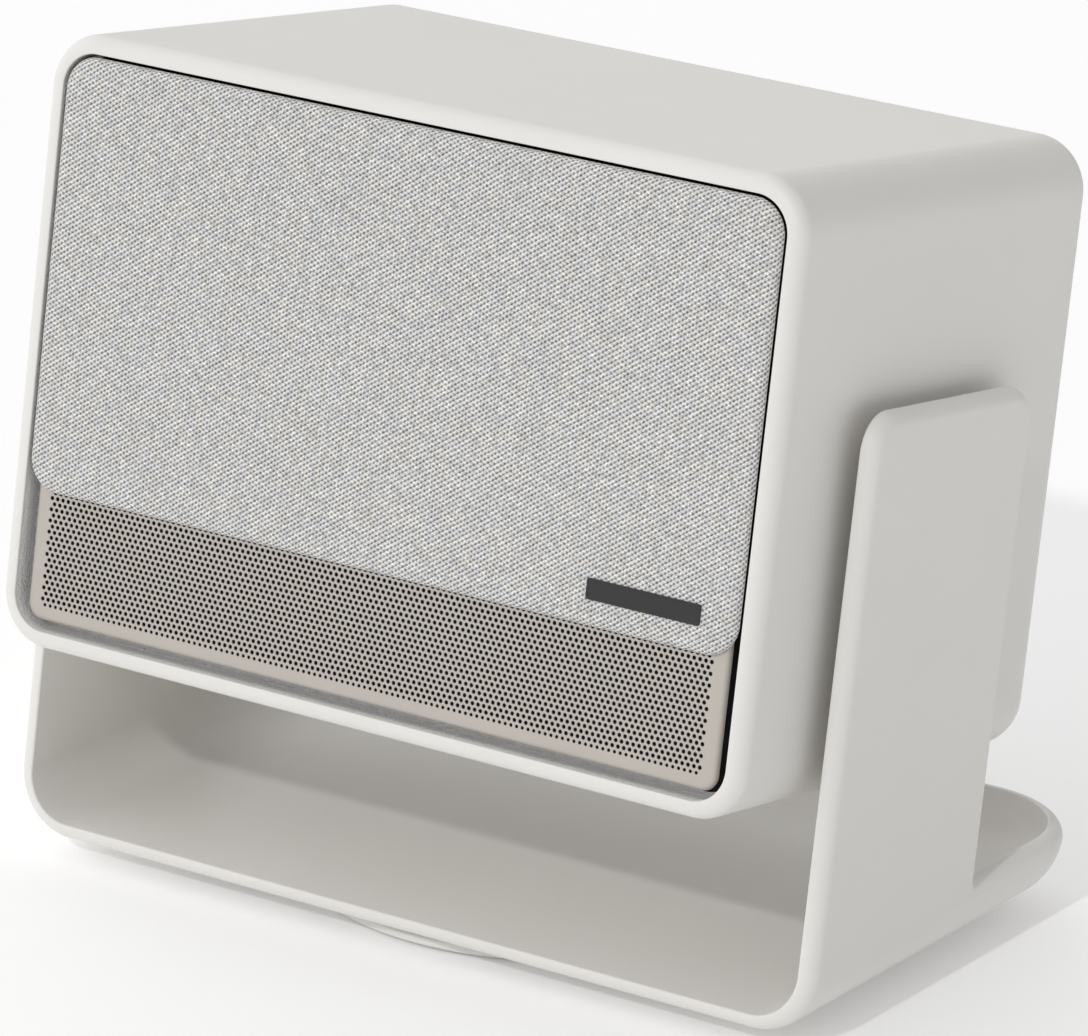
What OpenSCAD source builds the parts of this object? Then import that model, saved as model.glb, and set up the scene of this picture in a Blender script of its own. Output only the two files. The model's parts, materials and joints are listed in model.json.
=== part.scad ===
// Smart speaker with a projector behind its sliding fabric cover, on a tilting yoke and a swivel foot.
// The head's own frame has its origin on the tilt axis: X to the right, Y to the rear, Z up along the head.

/* [Head] */
// Width of the head's shell
body_w = 253; // [240:1:260]
// Height of the head's shell
body_h = 179; // [176:1:186]
// Depth of the head's shell, front rim to rear edge
body_d = 159; // [154:1:164]
// Outer corner radius of the shell, seen from the front
body_r = 16; // [12:1:20]
// Shell wall thickness
wall = 3; // [2.5:0.1:3.2]
// Width of the rim round the front opening
rim = 5.4; // [5:0.1:7]
// Backward lean of the head and the arms, in degrees
lean = 8; // [0:0.5:10]

/* [Sliding cover] */
// Height of the fabric panel
cover_h = 127.2; // [122:0.2:128]
// Corner radius of the fabric panel
cover_r = 10; // [6:1:12]
// How far the fabric stands in front of the rim
cover_proud = 1; // [0.5:0.1:1.5]
// Gap between the cover and the opening
cover_gap = 0.6; // [0.5:0.1:1]
// Travel of the cover when it opens
cover_travel = 38; // [34:1:38]

/* [Grille] */
// Width of the grille plate
grille_w = 235; // [232:1:236]
// Height of the grille plate, most of it behind the cover
grille_h = 76; // [74:1:77]
// Depth of the grille plate behind the rim
grille_set = 1.6; // [1.5:0.1:2.4]
// Grille plate thickness
grille_t = 1; // [0.8:0.1:1.2]

/* [Yoke] */
// Width of the yoke over its arms
stand_w = 275; // [272:1:277]
// Thickness of the arms and the tray
arm_t = 5.1; // [5:0.1:6]
// Width of an arm, front to rear
arm_d = 88; // [84:1:94]
// Front edge of an arm behind the tilt axis plane (negative is forward)
arm_front = -47; // [-50:0.5:-44]
// Top of an arm above the tilt axis
arm_top = 24.6; // [24:0.2:30]
// Corner radius at the top of an arm
arm_r = 11; // [6:1:16]
// Outer radius of the bend between tray and arm
bend_r = 19; // [18:1:22]
// Rear edge of the tray behind the swivel axis
tray_back = 85.5; // [82:0.5:88]
// Corner radius of the tray, seen from above
tray_r = 34; // [30:1:42]

/* [Foot] */
// Radius of the swivel foot
foot_r = 72; // [68:1:76]
// Height of the tray's underside above the table
foot_h = 6.5; // [6.5:0.5:8]
// Forward offset of the tilt axis from the swivel axis
pivot_y = -12; // [-14:1:-10]
// Height of the tilt axis above the table
pivot_z = 152; // [150:1:156]

/* [Speakers] */
// Outer radius of a loudspeaker driver
driver_r = 27; // [24:1:28]
// Distance of a driver from the middle
driver_x = 68; // [64:1:70]

/* [Fans] */
// Side of a square fan frame
fan_w = 58; // [52:1:58]
// Distance of a fan from the middle
fan_x = 78; // [72:1:78]

/* [Hidden] */
$fn = 96;

// Small clearance between a moving shaft and its hole
fit = 0.05;

// Planes of the head, front to rear
front_y = -body_d / 2;
back_y = body_d / 2;
lip_t = 1.5;
lip_y = front_y + lip_t;
grille_y = front_y + grille_set;
panel_y = front_y + 9;
panel_t = 2;
panel_back = panel_y + panel_t;
rear_y = back_y - 3.5;
rear_t = 3;

// The opening in the front and the hollow behind it
open_w = body_w - 2 * rim;
open_h = body_h - 2 * rim;
open_r = body_r - rim;
in_w = body_w - 2 * wall;
in_h = body_h - 2 * wall;
in_r = body_r - wall;
floor_z = -in_h / 2;
side_x = in_w / 2;

// Sliding cover
cover_w = open_w - 2 * cover_gap;
cover_top = open_h / 2 - cover_gap;
cover_z = cover_top - cover_h / 2;
fabric_t = 1;
fabric_y = front_y - cover_proud;
frame_back = grille_y - 0.4;
hook_in = side_x - 10.9;
hook_out = side_x - 5.5;
hook_z = [44, 70];
hook_back = panel_back + 7.6;
rail_x = side_x - 8;
rail_y = panel_back + 5;
rail_r = 2;
rail_z = [-11, 82];
lug_h = 5;

// Rack and pinion that drive the cover
tooth = 1;
pitch = PI * tooth;
pinion_teeth = 12;
pinion_r = tooth * pinion_teeth / 2;
rack_back = -hook_in;
rack_line = rack_back + 3.9;
rack_span = [28.5, 76.6];
pinion_x = rack_line + pinion_r + 0.1;
pinion_z = 33;
gear_y = [panel_back + 1, panel_back + 6];

// Grille and window
grille_z = -open_h / 2 + 2.9 + grille_h / 2;
window_w = 2 * (hook_in - 0.3);
window_z = [43, 81];
badge = [37, 6];
badge_at = [90, -32.6];

// Chassis, tilt hinge
plate_t = 1.5;
deck_z = floor_z + 3.5;
flange_out = side_x - 3.2;
flange_in = flange_out - plate_t;
chassis_bend = 10;
shaft_r = 9;
bush_r = 12;
bore_depth = 4;
arm_in = stand_w / 2 - arm_t;
bracket_hole = [20, 30];
shelf_z = 22;
shelf_t = 2;
shelf_top = shelf_z + shelf_t;

// Speakers
box_y = [panel_back + 3, -6];
box_x = [24, 107.5];
box_top = -12;
box_t = 2.5;
driver_z = -42;
basket_r = driver_r - 4;

// Projection parts
lens_z = 58;
lens_r = 16;
engine = [88, 62, 56];
engine_y = -20;
ring_teeth = 40;
ring_r = tooth * ring_teeth / 2;
focus_y = [-50, -42];
focus_x = ring_r + pinion_r + 0.1;
camera_x = 58;
receiver_x = -58;
pipe_r = 3;
pipe_y = [0, 24];
sink_x = engine[0] / 2 + 8;
fin_gap = 4;
fin_t = 0.8;
fin_count = 15;

// Fans
fan_z = 52;
fan_t = 13;
fan_y = rear_y - fan_t;
fan_hole = fan_w / 2 - 3;
blade_count = 9;
vent_pitch = 4.4;

// Ports on the rear
board_z = -43;
board_t = 2;
socket_z = board_z + board_t;
socket_y = rear_y - 14.5;
port_x = [-2, 94];
port_z = [-44, -22];
button_at = [-84, -34];
button_r = 8;
inlet_at = [-40, -34];
inlet = [24, 16];
screw_at = [115.5, 78.5];

// Foot and base
pad_t = 1.4;
disc_top = 4.4;
spindle_r = 10;
race_r = [30, 38];
ball_r = 1;
ball_ring = 34;
ball_count = 24;
race_t = 1;
skirt_r = [62, 71];
pocket = [200, 112];
pocket_r = 30;
pocket_h = 3;
cover_t = 1.4;
tripod_r = 3.175;
tray_edge = 2;
base_screw_at = [[90, 0], [-90, 0], [60, 46], [-60, 46], [60, -46], [-60, -46]];

shell_white = [0.90, 0.89, 0.87];
graphite = [0.13, 0.13, 0.14];
steel = [0.66, 0.67, 0.69];
champagne = [0.74, 0.70, 0.65];
cloth = [0.76, 0.75, 0.73];

// Places its children in the head's leaning frame
module head() {
    translate([0, pivot_y, pivot_z]) rotate([-lean, 0, 0]) children();
}

module rounded(w, h, r) {
    square([w - 2 * r, h], center = true);
    square([w, h - 2 * r], center = true);
    for (x = [-1, 1], y = [-1, 1])
        translate([x * (w / 2 - r), y * (h / 2 - r)]) circle(r);
}

// A rounded plate standing across the head, from y0 to y1
module panel(w, h, r, y0, y1, z = 0) {
    translate([0, y1, z]) rotate([90, 0, 0]) linear_extrude(y1 - y0) rounded(w, h, r);
}

module block(low, high) {
    translate(low) cube(high - low);
}

module rod_y(r, y0, y1, x = 0, z = 0) {
    translate([x, y1, z]) rotate([90, 0, 0]) cylinder(r = r, h = y1 - y0);
}

module rod_x(r, x0, x1, y = 0, z = 0) {
    translate([x0, y, z]) rotate([0, 90, 0]) cylinder(r = r, h = x1 - x0);
}

module both_sides() {
    children();
    mirror([1, 0, 0]) children();
}

// Straight-flanked gear outline, one tooth on the +X axis
module gear_outline(teeth) {
    r = tooth * teeth / 2;
    circle(r - 1.2 * tooth);
    for (i = [0 : teeth - 1])
        rotate(360 / teeth * i)
            polygon([[r - 1.4, -0.85], [r, -0.56], [r + 0.85, -0.25],
                     [r + 0.85, 0.25], [r, 0.56], [r - 1.4, 0.85]]);
}

module gear_y(teeth, y, bore = 0) {
    translate([0, y[1], 0]) rotate([90, 0, 0]) linear_extrude(y[1] - y[0]) difference() {
        gear_outline(teeth);
        if (bore > 0) circle(bore);
    }
}

// ---- foot ----

module foot_pad() {
    color(graphite) difference() {
        cylinder(r = foot_r - 4, h = pad_t);
        translate([0, 0, -1]) cylinder(r = foot_r - 20, h = pad_t + 2);
    }
}

module foot_disc() {
    color(shell_white) difference() {
        translate([0, 0, pad_t]) cylinder(r = foot_r, h = disc_top - pad_t);
        cylinder(r = spindle_r, h = foot_h);
    }
}

module race(z, groove_z) {
    difference() {
        translate([0, 0, z]) cylinder(r = race_r[1], h = race_t);
        translate([0, 0, z - 1]) cylinder(r = race_r[0], h = race_t + 2);
        translate([0, 0, groove_z]) rotate_extrude() translate([ball_ring, 0]) circle(ball_r + fit);
    }
}

module lower_race() {
    color(steel) race(disc_top, (disc_top + foot_h) / 2);
}

module upper_race() {
    color(steel) race(foot_h - race_t, (disc_top + foot_h) / 2);
}

module bearing_balls() {
    color(steel) for (i = [0 : ball_count - 1])
        rotate(360 / ball_count * i) translate([ball_ring, 0, (disc_top + foot_h) / 2]) sphere(ball_r);
}

module swivel_spindle() {
    color(steel) difference() {
        translate([0, 0, 0.8]) cylinder(r = spindle_r, h = foot_h + cover_t + 0.2 - 0.8);
        cylinder(r = tripod_r, h = foot_h + 0.8);
    }
}

module retaining_ring() {
    color(steel) translate([0, 0, foot_h + cover_t + 0.2]) cylinder(r = spindle_r + 5, h = 1);
}

// ---- stand ----

// Quarter of a disc, below and to the right of its centre
module quarter(r) {
    intersection() {
        circle(r);
        translate([0, -r]) square(r);
    }
}

// Section of the tray from its middle: flat floor, bend, upright wall
module half_section(reach, r, h) {
    square([reach - r, h]);
    translate([0, r]) square([reach, h - r]);
    translate([reach - r, r]) quarter(r);
}

// A deep tub, open to the front, with the tray's bends at both sides and at the rear
module tub(w, back, corner, r, h, front) {
    translate([0, back - corner, 0]) rotate([90, 0, 0]) linear_extrude(back - corner - front) {
        half_section(w / 2, r, h);
        mirror([1, 0]) half_section(w / 2, r, h);
    }
    translate([corner - w / 2, back - corner, 0]) rotate([90, 0, 90])
        linear_extrude(w - 2 * corner) half_section(corner, r, h);
    both_sides() translate([w / 2 - corner, back - corner, 0])
        rotate_extrude(angle = 90) half_section(corner, r, h);
}

module arm_outline() {
    translate([arm_front, -pivot_z - bend_r]) square([arm_d, pivot_z + bend_r + arm_top - arm_r]);
    translate([arm_front + arm_r, 0]) square([arm_d - 2 * arm_r, arm_top]);
    for (y = [arm_front + arm_r, arm_front + arm_d - arm_r])
        translate([y, arm_top - arm_r]) circle(arm_r);
}

// Side view of the yoke: the leaning arm, and the tray with its upright edge
module side_outline() {
    translate([pivot_y, pivot_z]) rotate(-lean) arm_outline();
    translate([pivot_y, 0]) square([2 * tray_back, foot_h + bend_r + tray_edge]);
}

module tray_and_arms() {
    tall = pivot_z + 2 * arm_top;
    intersection() {
        difference() {
            translate([0, 0, foot_h]) tub(stand_w, tray_back, tray_r, bend_r, tall, -2 * tray_back);
            translate([0, 0, foot_h + arm_t])
                tub(stand_w - 2 * arm_t, tray_back - arm_t, tray_r - arm_t, bend_r - arm_t,
                    tall, -3 * tray_back);
        }
        translate([-stand_w, 0, 0]) rotate([90, 0, 90]) linear_extrude(2 * stand_w) side_outline();
    }
}

module base_plate(shrink, z0, z1) {
    translate([0, 0, z0]) linear_extrude(z1 - z0)
        rounded(pocket[0] - 2 * shrink, pocket[1] - 2 * shrink, pocket_r - shrink);
}

module base_screw_holes(r, z0, z1) {
    for (p = base_screw_at)
        translate([p[0], p[1], z0]) cylinder(r = r, h = z1 - z0);
}

module yoke() {
    color(shell_white) difference() {
        tray_and_arms();
        base_plate(0, foot_h - 1, foot_h + pocket_h);
        base_screw_holes(1.5, foot_h + pocket_h - 1, foot_h + pocket_h + 1.5);
        head() both_sides() rod_x(bush_r, arm_in - 1, arm_in + bore_depth);
    }
}

module base_weight() {
    top = foot_h + pocket_h - 0.2;
    color(steel) difference() {
        base_plate(2, foot_h + cover_t, top);
        cylinder(r = spindle_r + 8, h = pivot_z / 4);
        base_screw_holes(1.5, foot_h, top + 1);
    }
}

module base_cover() {
    color(graphite) difference() {
        union() {
            base_plate(0.3, foot_h, foot_h + cover_t);
            difference() {
                translate([0, 0, foot_h - 1.8]) cylinder(r = skirt_r[1], h = 1.8);
                cylinder(r = skirt_r[0], h = foot_h);
            }
        }
        cylinder(r = spindle_r + fit, h = 2 * foot_h);
        base_screw_holes(3, foot_h - 1, foot_h + cover_t + 1);
    }
}

module base_screws() {
    color(steel) {
        base_screw_holes(3, foot_h, foot_h + cover_t);
        base_screw_holes(1.5, foot_h + cover_t, foot_h + pocket_h + 1.5);
    }
}

module tilt_bushes() {
    color(graphite) head() both_sides() difference() {
        union() {
            rod_x(bush_r, arm_in, arm_in + bore_depth);
            rod_x(bush_r + 2, arm_in - 1.1, arm_in);
        }
        rod_x(shaft_r + fit, arm_in - 2, arm_in + bore_depth + 1);
    }
}

// ---- head: casing ----

module shell() {
    color(shell_white) head() difference() {
        union() {
            difference() {
                panel(body_w, body_h, body_r, front_y, back_y);
                panel(open_w, open_h, open_r, front_y - 1, back_y);
                panel(in_w, in_h, in_r, lip_y, back_y + 1);
            }
            for (x = [-1, 1], z = [-1, 1])
                intersection() {
                    rod_y(6.5, rear_y - 10, rear_y, x * screw_at[0], z * screw_at[1]);
                    panel(body_w - wall, body_h - wall, body_r - wall / 2, front_y, back_y);
                }
            for (x = [-90, 90], y = [-40, 48])
                translate([x, y, floor_z - 1]) cylinder(r = 5, h = deck_z - plate_t - floor_z + 1);
        }
        for (x = [-1, 1], z = [-1, 1])
            rod_y(1.5, rear_y - 8, rear_y + 1, x * screw_at[0], z * screw_at[1]);
        both_sides() rod_x(shaft_r + 0.5, side_x - 1, body_w / 2 + 1);
    }
}

module front_bezel() {
    slot = [hook_z[0] - cover_travel - 0.4, hook_z[1] + 0.4];
    color([0.66, 0.66, 0.66]) head() difference() {
        union() {
            difference() {
                panel(in_w - 0.4, in_h - 0.4, in_r - 0.2, lip_y, panel_back);
                panel(open_w, open_h, open_r, lip_y - 1, panel_y);
            }
            both_sides() for (z = [rail_z[0], rail_z[1] - lug_h])
                block([hook_in + 0.2, panel_back, z], [hook_out + 0.6, hook_back + 1, z + lug_h]);
        }
        both_sides() block([hook_in - 0.3, panel_y - 1, slot[0]], [hook_out + 0.3, panel_back + 1, slot[1]]);
        both_sides() translate([rail_x, rail_y, rail_z[0]]) cylinder(r = rail_r, h = rail_z[1] - rail_z[0]);
        both_sides() translate([driver_x, 0, driver_z])
            block([-30, panel_y - 1, -28], [30, panel_back + 1, 28]);
        rod_y(lens_r + 1, panel_y - 1, panel_back + 1, 0, lens_z);
        for (x = [camera_x, receiver_x])
            rod_y(4, panel_y - 1, panel_back + 1, x, lens_z);
    }
}

module vent_slots() {
    for (x = [-fan_x, fan_x], i = [-5 : 5])
        translate([x, rear_y, fan_z + vent_pitch * i])
            block([-24, -1, -vent_pitch / 4], [24, rear_t + 1, vent_pitch / 4]);
}

module rear_cover() {
    color(shell_white) head() difference() {
        panel(in_w - 0.6, in_h - 0.6, in_r - 0.3, rear_y, rear_y + rear_t);
        vent_slots();
        block([port_x[0], rear_y - 1, port_z[0]], [port_x[1], rear_y + rear_t + 1, port_z[1]]);
        inlet_block(rear_y - 1, rear_y + rear_t + 1);
        rod_y(button_r + 0.1, rear_y - 1, rear_y + rear_t + 1, button_at[0], button_at[1]);
        rear_screw_rods(3, rear_y + rear_t - 2, rear_y + rear_t + 1);
        rear_screw_rods(1.5, rear_y - 1, rear_y + rear_t);
    }
}

module rear_screw_rods(r, y0, y1) {
    for (x = [-1, 1], z = [-1, 1])
        rod_y(r, y0, y1, x * screw_at[0], z * screw_at[1]);
}

module rear_screws() {
    color(steel) head() {
        rear_screw_rods(3, rear_y + rear_t - 2, rear_y + rear_t - 0.2);
        rear_screw_rods(1.5, rear_y - 8, rear_y + rear_t - 2);
    }
}

// ---- head: ports ----

module socket_block(x, w, h, y0, y1) {
    block([x - w / 2, y0, socket_z], [x + w / 2, y1, socket_z + h]);
}

module port_plate() {
    color(graphite) head() difference() {
        block([port_x[0] - 5, rear_y - 2, port_z[0] - 4], [port_x[1] + 5, rear_y, port_z[1] + 4]);
        block([port_x[0] - 6, rear_y - 3, board_z], [port_x[1] + 6, rear_y - 1, socket_z]);
        for (x = [12, 34]) socket_block(x, 16, 6.6, rear_y - 3, rear_y + 1);
        socket_block(58, 16, 9, rear_y - 3, rear_y + 1);
        rod_y(4, rear_y - 3, rear_y + 1, 78, socket_z + 4);
    }
}

module hdmi_sockets() {
    color(steel) head() for (x = [12, 34]) difference() {
        socket_block(x, 16, 6.6, socket_y, rear_y);
        block([x - 7.3, socket_y + 2, socket_z + 1], [x + 7.3, rear_y + 1, socket_z + 5.6]);
    }
}

module usb_socket() {
    color(steel) head() difference() {
        socket_block(58, 16, 9, socket_y, rear_y);
        block([51, socket_y + 2, socket_z + 1], [65, rear_y + 1, socket_z + 8]);
    }
}

module audio_jack() {
    color(graphite) head() difference() {
        rod_y(4, socket_y, rear_y, 78, socket_z + 4);
        rod_y(1.75, socket_y + 1, rear_y + 1, 78, socket_z + 4);
    }
}

module inlet_block(y0, y1, inset = 0) {
    block([inlet_at[0] - inlet[0] / 2 + inset, y0, inlet_at[1] - inlet[1] / 2 + inset],
          [inlet_at[0] + inlet[0] / 2 - inset, y1, inlet_at[1] + inlet[1] / 2 - inset]);
}

module power_inlet() {
    color(graphite) head() {
        difference() {
            inlet_block(rear_y - 17, rear_y + rear_t);
            inlet_block(rear_y - 12, rear_y + rear_t + 1, 3);
        }
        for (x = [-4, 4])
            rod_y(1.2, rear_y - 12, rear_y + rear_t - 4, inlet_at[0] + x, inlet_at[1]);
    }
}

module power_button() {
    color(graphite) head() {
        rod_y(button_r, rear_y - 2.1, rear_y + rear_t + 0.6, button_at[0], button_at[1]);
        rod_y(button_r + 1.5, rear_y - 3.6, rear_y - 2.1, button_at[0], button_at[1]);
    }
}

module button_switch() {
    color([0.1, 0.35, 0.2]) head() {
        x = button_at[0];
        z = button_at[1];
        block([x - 15, rear_y - 12.5, z - 12], [x + 15, rear_y - 11, z + 12]);
        block([x - 3.5, rear_y - 11, z - 3.5], [x + 3.5, rear_y - 4.9, z + 3.5]);
        for (side = [-12.5, 12.5]) rod_y(2, rear_y - 11, rear_y, x + side, z);
    }
}

// ---- head: front ----

module grille() {
    color(champagne) head() difference() {
        panel(grille_w, grille_h, 5, grille_y, panel_y, grille_z);
        panel(grille_w - 2 * grille_t, grille_h - 2 * grille_t, 4,
              grille_y + grille_t, panel_y + 1, grille_z);
    }
}

module acoustic_mesh() {
    color(graphite) head()
        panel(grille_w - 3, grille_h - 3, 3.5, panel_y - 0.6, panel_y, grille_z);
}

module window_glass() {
    color([0.08, 0.08, 0.1, 0.6]) head()
        panel(window_w, window_z[1] - window_z[0], 4,
              panel_y - 1.4, panel_y, (window_z[0] + window_z[1]) / 2);
}

module cover_rails() {
    color(steel) head() both_sides()
        translate([rail_x, rail_y, rail_z[0]]) cylinder(r = rail_r, h = rail_z[1] - rail_z[0]);
}

module camera_module() {
    color(graphite) head() {
        block([camera_x - 9, panel_back, lens_z - 9], [camera_x + 9, panel_back + 10, lens_z + 9]);
        rod_y(3.8, panel_y + 0.2, panel_back, camera_x, lens_z);
    }
}

module remote_receiver() {
    color([0.25, 0.05, 0.08]) head() {
        block([receiver_x - 6, panel_back, lens_z - 8], [receiver_x + 6, panel_back + 4, lens_z + 8]);
        rod_y(3.8, panel_y + 0.2, panel_back, receiver_x, lens_z);
    }
}

// ---- head: chassis and tilt hinge ----

module bracket_rods(r, x0, x1) {
    for (y = [-1, 1], z = [-1, 1])
        rod_x(r, x0, x1, y * bracket_hole[0], z * bracket_hole[1]);
}

// Deck with its upturned sides, one bent sheet
module bent_sheet(y0, y1, h) {
    translate([0, y1, deck_z - plate_t]) rotate([90, 0, 0]) linear_extrude(y1 - y0) difference() {
        both_sides() half_section(flange_out, chassis_bend, h);
        translate([0, plate_t]) both_sides() half_section(flange_in, chassis_bend - plate_t, h);
    }
}

module chassis() {
    color(steel) head() {
        bent_sheet(-58, rear_y - 12.5, chassis_bend + 1);
        difference() {
            bent_sheet(-50, 50, 50 + plate_t - deck_z);
            both_sides() rod_x(shaft_r + 8.5, flange_in - 1, flange_out + 1);
            both_sides() bracket_rods(2, flange_in - 1, flange_out + 1);
        }
        for (x = [-5, 98], y = [14, 54])
            translate([x, y, deck_z - 0.5]) cylinder(r = 3, h = board_z - deck_z + 0.5);
    }
}

module engine_shelf() {
    color(steel) head()
        block([-flange_in, engine_y, shelf_z], [flange_in, fan_y, shelf_top]);
}

module tilt_brackets() {
    color(steel) head() both_sides() difference() {
        block([flange_out, -28, -40], [flange_out + 3, 28, 40]);
        rod_x(shaft_r, flange_out - 1, flange_out + 4);
        bracket_rods(2, flange_out - 1, flange_out + 4);
    }
}

module bracket_screws() {
    color(steel) head() both_sides() {
        bracket_rods(3.5, flange_in - 2, flange_in);
        bracket_rods(2, flange_in, flange_out + 3);
    }
}

module tilt_shafts() {
    color(steel) head() both_sides() {
        rod_x(shaft_r + 7, flange_in - 1.8, flange_out);
        rod_x(shaft_r, flange_out, arm_in + bore_depth - 0.2);
    }
}

module friction_washers() {
    color(graphite) head() both_sides() difference() {
        rod_x(bush_r + 1.5, body_w / 2 + 0.1, arm_in - 1.2);
        rod_x(shaft_r, body_w / 2 - 1, arm_in);
    }
}

// ---- head: speakers ----

module speaker_box() {
    difference() {
        block([box_x[0], box_y[0], deck_z], [box_x[1], box_y[1], box_top]);
        block([box_x[0] + box_t, box_y[0] + box_t, deck_z + box_t],
              [box_x[1] - box_t, box_y[1] - box_t, box_top - box_t]);
        rod_y(basket_r + 0.6, box_y[0] - 1, box_y[0] + 3, driver_x, driver_z);
    }
}

module speaker_box_left() {
    color(graphite) head() mirror([1, 0, 0]) speaker_box();
}

module speaker_box_right() {
    color(graphite) head() speaker_box();
}

module driver() {
    face = box_y[0];
    difference() {
        union() {
            rod_y(driver_r, face - 2, face, driver_x, driver_z);
            rod_y(basket_r + 0.5, face, face + 13.5, driver_x, driver_z);
        }
        rod_y(basket_r - 1, face - 3, face + 12, driver_x, driver_z);
    }
}

module driver_left() {
    color(graphite) head() mirror([1, 0, 0]) driver();
}

module driver_right() {
    color(graphite) head() driver();
}

module driver_magnets() {
    color(steel) head() both_sides()
        rod_y(16, box_y[0] + 13.5, box_y[0] + 22, driver_x, driver_z);
}

module driver_cones() {
    r = basket_r - 1;
    color([0.2, 0.2, 0.2]) head() both_sides()
        translate([driver_x, box_y[0] - 1.6, driver_z]) rotate([-90, 0, 0]) rotate_extrude()
            polygon([[0, 6], [7, 8.4], [r - 3, 1.2], [r - 1.5, 0], [r, 0.8],
                     [r, 1.4], [r - 1.5, 0.6], [r - 3, 1.9], [7, 9.1], [0, 6.7]]);
}

// ---- head: light engine ----

module light_engine() {
    color(graphite) head()
        block([-engine[0] / 2, engine_y, shelf_top],
              [engine[0] / 2, engine_y + engine[1], shelf_top + engine[2]]);
}

module lens_barrel() {
    color([0.2, 0.2, 0.21]) head() difference() {
        union() {
            rod_y(lens_r, panel_back + 1, engine_y, 0, lens_z);
            rod_y(ring_r + 1, engine_y - 3, engine_y, 0, lens_z);
        }
        rod_y(lens_r - 2, panel_back, engine_y - 3, 0, lens_z);
    }
}

// A thin round lens, flat at the rear
module lens_element(y, bulge) {
    curve_r = (pow(lens_r - 2, 2) + bulge * bulge) / (2 * bulge);
    intersection() {
        rod_y(lens_r - 2, y - bulge, y + 2, 0, lens_z);
        translate([0, y - bulge + curve_r, lens_z]) sphere(curve_r);
    }
}

module lens_glass() {
    color([0.5, 0.6, 0.75, 0.5]) head() {
        lens_element(panel_back + 7, 4);
        lens_element(engine_y - 10, 3);
    }
}

module focus_ring() {
    color(graphite) head() translate([0, 0, lens_z]) rotate([0, 180 / ring_teeth, 0])
        gear_y(ring_teeth, focus_y, lens_r + fit);
}

module focus_pinion() {
    color("white") head() translate([focus_x, 0, lens_z]) {
        gear_y(pinion_teeth, focus_y);
        rod_y(1.5, focus_y[1], focus_y[1] + 6);
    }
}

module focus_motor() {
    color(steel) head() difference() {
        rod_y(7, focus_y[1] + 3, engine_y - 3, focus_x, lens_z);
        rod_y(1.5 + fit, focus_y[1] + 2, focus_y[1] + 6.5, focus_x, lens_z);
    }
}

module heat_sink() {
    span = fin_gap * (fin_count - 1) + fin_t;
    color([0.78, 0.78, 0.8]) head() difference() {
        translate([sink_x, engine_y + 2, shelf_top]) {
            cube([span, 58, 2]);
            for (i = [0 : fin_count - 1])
                translate([fin_gap * i, 0, 0]) cube([fin_t, 58, 54]);
        }
        for (y = pipe_y) rod_x(pipe_r, engine[0] / 2, side_x, y, lens_z);
    }
}

module heat_pipes() {
    color([0.72, 0.42, 0.26]) head() for (y = pipe_y)
        rod_x(pipe_r, engine[0] / 2, sink_x + fin_gap * fin_count, y, lens_z);
}

// ---- head: fans, electronics ----

module fan_frame() {
    difference() {
        block([fan_x - fan_w / 2, fan_y, fan_z - fan_w / 2], [fan_x + fan_w / 2, rear_y, fan_z + fan_w / 2]);
        rod_y(fan_hole, fan_y - 1, rear_y + 1, fan_x, fan_z);
    }
    rod_y(9, rear_y - 2, rear_y, fan_x, fan_z);
    for (i = [0 : 2])
        translate([fan_x, 0, fan_z]) rotate([0, 30 + 120 * i, 0])
            block([8, rear_y - 2, -1.5], [fan_hole + 0.5, rear_y, 1.5]);
}

module fan_frames() {
    color(graphite) head() both_sides() difference() {
        fan_frame();
        rod_y(1.5 + fit, rear_y - 4, rear_y - 0.5, fan_x, fan_z);
    }
}

module fan_rotor() {
    rod_y(9.5, fan_y + 1, rear_y - 2.5, fan_x, fan_z);
    rod_y(1.5, rear_y - 3, rear_y - 1, fan_x, fan_z);
    for (i = [0 : blade_count - 1])
        translate([fan_x, (fan_y + rear_y) / 2 - 1, fan_z]) rotate([0, 360 / blade_count * i, 0])
            rotate([38, 0, 0]) translate([8.5, -5, -0.5]) cube([fan_hole - 9.5, 10, 1]);
}

module fan_rotor_left() {
    color([0.2, 0.2, 0.2]) head() mirror([1, 0, 0]) fan_rotor();
}

module fan_rotor_right() {
    color([0.2, 0.2, 0.2]) head() fan_rotor();
}

module main_board() {
    color([0.07, 0.3, 0.18]) head() {
        block([port_x[0] - 7, 8, board_z], [port_x[1] + 9, rear_y - 2, socket_z]);
        block([20, 20, socket_z], [52, 46, socket_z + 5]);
        block([64, 16, socket_z], [90, 30, socket_z + 2.5]);
        block([64, 36, socket_z], [90, 46, socket_z + 2.5]);
        block([0, 22, socket_z], [10, 42, socket_z + 8]);
    }
}

module power_supply() {
    color([0.35, 0.35, 0.36]) head() difference() {
        block([-109, 2, deck_z], [-20, rear_y - 14, board_z - 5]);
        block([-107, 4, deck_z + 1.5], [-22, rear_y - 16, board_z - 7]);
        for (i = [0 : 8])
            block([-104 + 9 * i, 0, deck_z + 10], [-99 + 9 * i, 5, board_z - 14]);
    }
}

module cover_motor() {
    color(steel) head() {
        y = gear_y[1] + 0.8;
        difference() {
            union() {
                rod_y(8, y, y + 22, pinion_x, pinion_z);
                block([pinion_x - 8, y, pinion_z - 10], [pinion_x + 17, y + 1.5, pinion_z + 10]);
                block([pinion_x + 14, panel_back, pinion_z - 10], [pinion_x + 17, y + 1.5, pinion_z + 10]);
            }
            rod_y(1.5 + fit, y - 1, y + 5, pinion_x, pinion_z);
        }
    }
}

module cover_pinion() {
    color("white") head() translate([pinion_x, 0, pinion_z]) {
        gear_y(pinion_teeth, gear_y);
        rod_y(1.5, gear_y[1], gear_y[1] + 5);
    }
}

// ---- sliding cover ----

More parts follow.
